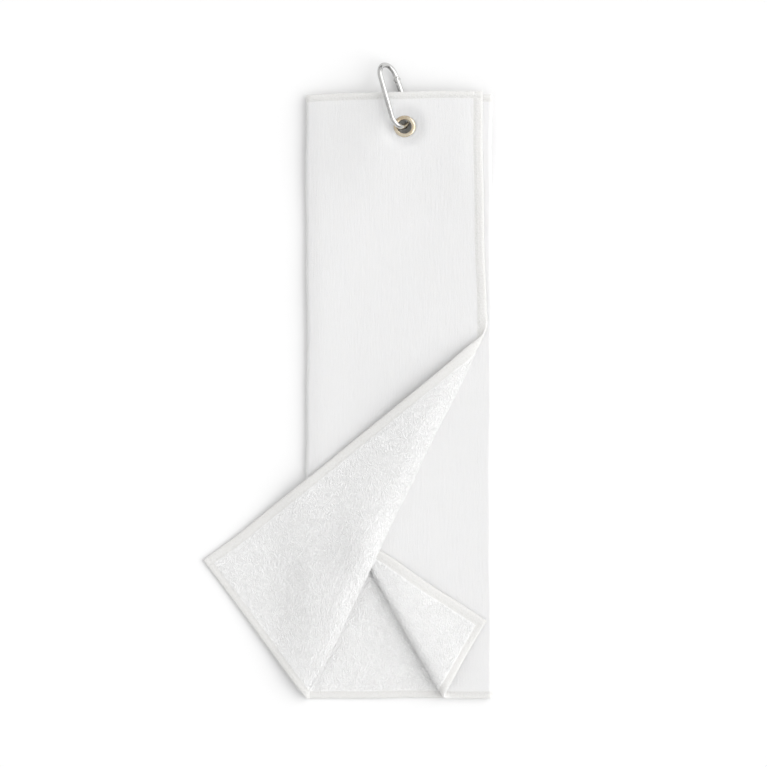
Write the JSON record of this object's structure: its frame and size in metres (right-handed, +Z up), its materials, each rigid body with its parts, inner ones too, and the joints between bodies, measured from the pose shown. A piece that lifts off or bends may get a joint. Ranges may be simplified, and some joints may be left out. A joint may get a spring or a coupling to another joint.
{
  "type": "golf towel",
  "caption": "Terry golf towel folded in three, pinned by a brass eyelet near its top edge, with a small spring-gate snap hook to hang it by.",
  "frame": {"origin": "middle of the back panel's underside, on the surface it lies on", "axes": "+X across the towel, +Y along it towards the eyelet, +Z up"},
  "size_m": [0.2174, 0.4806, 0.0213],
  "materials": {
    "terry_cotton": "white cotton, velour outside and terry loops inside",
    "sewing_thread": "white sewing thread",
    "eyelet_brass": "polished brass plate",
    "clip_nickel": "bright nickel plate",
    "spring_steel": "plain spring steel"
  },
  "bodies": {
    "towel": {"towel_cloth": "terry_cotton", "hem_thread_top": "sewing_thread", "hem_thread_bottom": "sewing_thread", "hem_thread_front_edge": "sewing_thread", "hem_thread_inner_edge": "sewing_thread", "grommet_eyelet": "eyelet_brass", "grommet_washer": "eyelet_brass"},
    "clip": {"clip_frame": "clip_nickel"},
    "gate": {"gate_tube": "clip_nickel", "gate_pivot_rivet": "clip_nickel", "gate_latch_pin": "clip_nickel", "gate_spring": "spring_steel"},
    "follower": {"spring_follower": "spring_steel"}
  },
  "joints": [
    {"name": "clip_swing", "type": "hinge", "parent": "towel", "child": "clip", "pos_m": [0.0042, 0.2039, 0.0096], "axis": [0, 0, 1], "range_deg": [-60, 34]},
    {"name": "gate_hinge", "type": "hinge", "parent": "clip", "child": "gate", "pos_m": [-0.00147, 0.23959, 0.00395], "axis": [-0.7685, -0.2175, -0.6018], "range_deg": [0, 24], "stiffness_Nm_per_rad": 0.05, "springref_deg": -34.38, "deforming": ["towel_cloth", "hem_thread_top"]},
    {"name": "follower_slide", "type": "slide", "parent": "gate", "child": "follower", "axis": [0.3217, -0.9443, -0.0696], "range_m": [0, 0.0006], "deforming": ["gate_spring"]}
  ],
  "couplings": [
    {"joint": "follower_slide", "follows": "gate_hinge", "m_per_rad": 0.001236}
  ]
}
